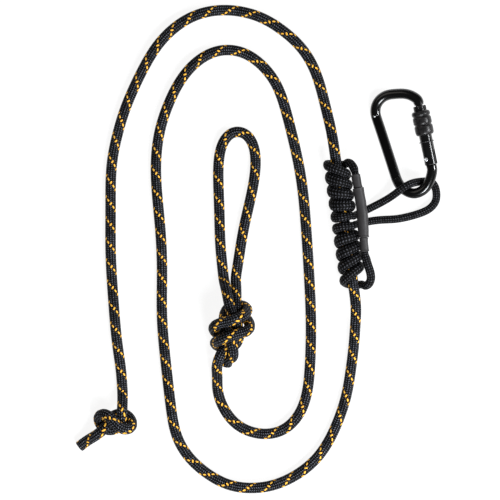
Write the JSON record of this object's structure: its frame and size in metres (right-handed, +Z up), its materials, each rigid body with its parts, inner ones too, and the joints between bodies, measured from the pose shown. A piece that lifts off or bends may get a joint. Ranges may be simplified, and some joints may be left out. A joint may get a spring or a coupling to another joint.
{
  "type": "tree climbing lanyard",
  "caption": "Positioning lanyard: black kernmantle rope with a stopper knot and a knotted eye, a sliding friction hitch of thinner cord and a black screw-lock carabiner.",
  "frame": {"origin": "centre of the bounding box, on the ground plane that the lanyard lies on", "axes": "+Y along the long way of the rope's spiral, towards its upper bend; +X towards the carabiner; +Z up from the ground"},
  "size_m": [0.372, 0.4974, 0.0457],
  "materials": {
    "rope_sheath": "matte black braid with golden yellow tracer yarns",
    "hitch_cord_sheath": "matte black braid with grey flecks",
    "shrink_tubing": "satin dark grey tubing",
    "anodised_metal": "glossy black anodised aluminium",
    "bright_steel": "bright steel"
  },
  "bodies": {
    "rope": {"stopper_knot_with_tail": "rope_sheath", "rope_outer_run": "rope_sheath", "rope_in_hitch": "rope_sheath", "rope_inner_run": "rope_sheath", "loop_knot_standing_pass": "rope_sheath", "loop_knot_tail_pass": "rope_sheath", "eye_loop": "rope_sheath"},
    "hitch": {"hitch_upper_wraps": "hitch_cord_sheath", "hitch_lower_wraps": "hitch_cord_sheath", "bridge_cord_upper": "hitch_cord_sheath", "bridge_cord_lower": "hitch_cord_sheath", "splice_sleeve_upper": "shrink_tubing", "splice_sleeve_main": "shrink_tubing", "splice_sleeve_lower": "shrink_tubing", "carabiner_bight": "hitch_cord_sheath"},
    "carabiner": {"carabiner_frame": "anodised_metal", "gate_rivet": "bright_steel"},
    "gate": {"gate_barrel": "anodised_metal", "latch_pin": "bright_steel", "sleeve_stop_ring": "bright_steel", "gate_spring": "bright_steel"},
    "plunger": {"gate_plunger": "bright_steel"},
    "lock_sleeve": {"lock_sleeve": "anodised_metal"}
  },
  "joints": [
    {"name": "hitch_slide", "type": "slide", "parent": "rope", "child": "hitch", "axis": [-0.1392, 0.9903, 0], "range_m": [-0.012, 0.012]},
    {"name": "carabiner_swing", "type": "hinge", "parent": "hitch", "child": "carabiner", "pos_m": [0.15935, 0.06591, 0.01028], "axis": [0.8489, 0.2436, -0.4691], "range_deg": [0, 25]},
    {"name": "gate_swing", "type": "hinge", "parent": "carabiner", "child": "gate", "pos_m": [0.17195, 0.09131, 0.01543], "axis": [-0.2541, -0.0828, 0.9636], "range_deg": [0, 25], "stiffness_Nm_per_rad": 0.35, "springref_deg": -28.65},
    {"name": "plunger_travel", "type": "slide", "parent": "gate", "child": "plunger", "axis": [-0.2033, 0.9786, 0.0304], "range_m": [0, 0.0021], "deforming": ["gate_spring"]},
    {"name": "sleeve_travel", "type": "slide", "parent": "gate", "child": "lock_sleeve", "axis": [-0.2033, 0.9786, 0.0304], "range_m": [-0.0058, 0.0072]}
  ],
  "couplings": [
    {"joint": "plunger_travel", "follows": "gate_swing", "m_per_rad": 0.0046}
  ]
}
